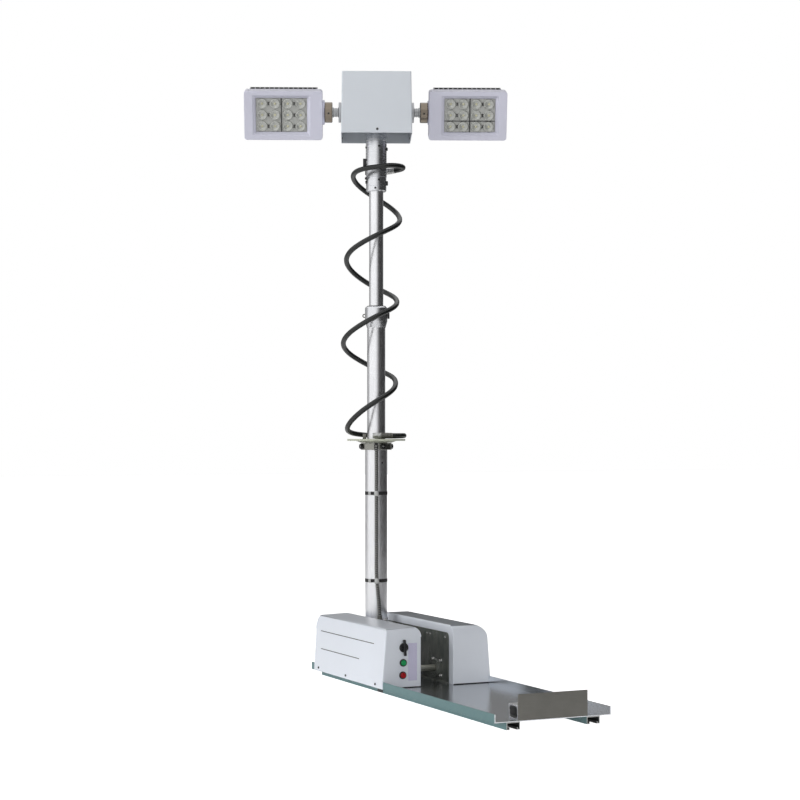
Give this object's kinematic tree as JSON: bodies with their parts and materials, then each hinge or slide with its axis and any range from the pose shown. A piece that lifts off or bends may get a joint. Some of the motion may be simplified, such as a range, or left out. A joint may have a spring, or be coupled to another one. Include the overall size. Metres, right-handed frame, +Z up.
{
  "type": "vehicle-roof mobile light tower",
  "caption": "Light tower for a vehicle roof: tray with two housings, folding telescopic mast, spiral cable, and a turning head with two tilting LED floodlights.",
  "frame": {"origin": "on the plane of the rails' feet, under the middle of the whole object's plan box, cable left out", "axes": "+Z up along the raised mast, +X along the tray from the mast end to the rest bracket, +Y across the tray away from the control housing"},
  "size_m": [1.3948, 0.8254, 1.95],
  "materials": {
    "tray_aluminium": "mill-finished aluminium sheet, teal-grey outer edge",
    "rail_zinc": "zinc-plated strut channel",
    "black_rubber": "black rubber",
    "white_cover": "glossy white powder coat",
    "dark_steel": "dark grey paint",
    "bare_aluminium": "machined aluminium",
    "bright_steel": "ground steel",
    "grey_plate": "grey-brown plate",
    "black_plastic": "black moulded plastic",
    "green_plastic": "green push button",
    "red_plastic": "red push button",
    "dark_cast": "plain dark casting",
    "mast_aluminium": "satin anodised tube",
    "disc_paint": "pale greenish beige",
    "conduit_steel": "corrugated metal conduit",
    "cable_rubber": "black cable sheath",
    "head_paint": "light grey satin paint",
    "bronze_collar": "bronze-brown anodised collar",
    "lamp_paint": "lilac-white satin paint",
    "lens_clear": "moulded clear lens array over a bright board"
  },
  "bodies": {
    "base": {"tray": "tray_aluminium", "rail_front": "rail_zinc", "rail_rear": "rail_zinc", "rail_pads": "black_rubber", "front_cover": "white_cover", "rear_cover": "white_cover", "front_side_plate": "dark_steel", "rear_side_plate": "dark_steel", "pivot_bearings": "bare_aluminium", "shaft_flanges": "bare_aluminium", "cross_shaft": "bright_steel", "rest_tube": "bare_aluminium", "stop_plate": "grey_plate", "selector_switch": "black_plastic", "green_button": "green_plastic", "red_button": "red_plastic", "tilt_gearmotor": "dark_cast", "compressor": "dark_cast"},
    "mast_base": {"mast_foot": "bare_aluminium", "pivot_shaft": "bright_steel", "lower_tube": "mast_aluminium", "disc_plate": "disc_paint", "disc_clamp": "bare_aluminium", "conduit": "conduit_steel", "conduit_bands": "black_rubber", "cable_gland": "black_plastic", "coil_cable": "cable_rubber"},
    "stage_middle": {"middle_tube": "mast_aluminium", "middle_collar": "mast_aluminium"},
    "stage_upper": {"inner_tube": "mast_aluminium", "head_tube": "mast_aluminium", "top_gland": "black_plastic"},
    "head": {"head_spigot": "mast_aluminium", "pan_gearbox": "dark_cast", "head_cover": "head_paint", "arm_flanges": "bare_aluminium"},
    "lamp_pair": {"lamp_shaft": "bright_steel", "shaft_collars": "bronze_collar", "lamp_plates": "lamp_paint", "lamp_housing_left": "lamp_paint", "lens_panel_left": "lens_clear", "heat_sink_left": "bare_aluminium", "lamp_housing_right": "lamp_paint", "lens_panel_right": "lens_clear", "heat_sink_right": "bare_aluminium"}
  },
  "joints": [
    {"name": "mast_tilt", "type": "hinge", "parent": "base", "child": "mast_base", "pos_m": [-0.46309, 0.00443, 0.151], "axis": [0, 1, 0], "range_deg": [0, 90]},
    {"name": "mast_slide", "type": "slide", "parent": "mast_base", "child": "stage_middle", "axis": [0, 0, -1], "range_m": [0, 0.35], "deforming": ["coil_cable"]},
    {"name": "head_slide", "type": "slide", "parent": "stage_middle", "child": "stage_upper", "axis": [0, 0, -1], "range_m": [0, 0.35]},
    {"name": "head_pan", "type": "hinge", "parent": "stage_upper", "child": "head", "pos_m": [-0.46309, 0.00443, 1.741], "axis": [0, 0, 1], "range_deg": [-156.4, 203.6]},
    {"name": "lamp_tilt", "type": "hinge", "parent": "head", "child": "lamp_pair", "pos_m": [-0.46309, 0.00443, 1.836], "axis": [0.4003, 0.9164, 0], "range_deg": [-183, 147]}
  ],
  "couplings": [
    {"joint": "head_slide", "follows": "mast_slide", "ratio": 1}
  ]
}
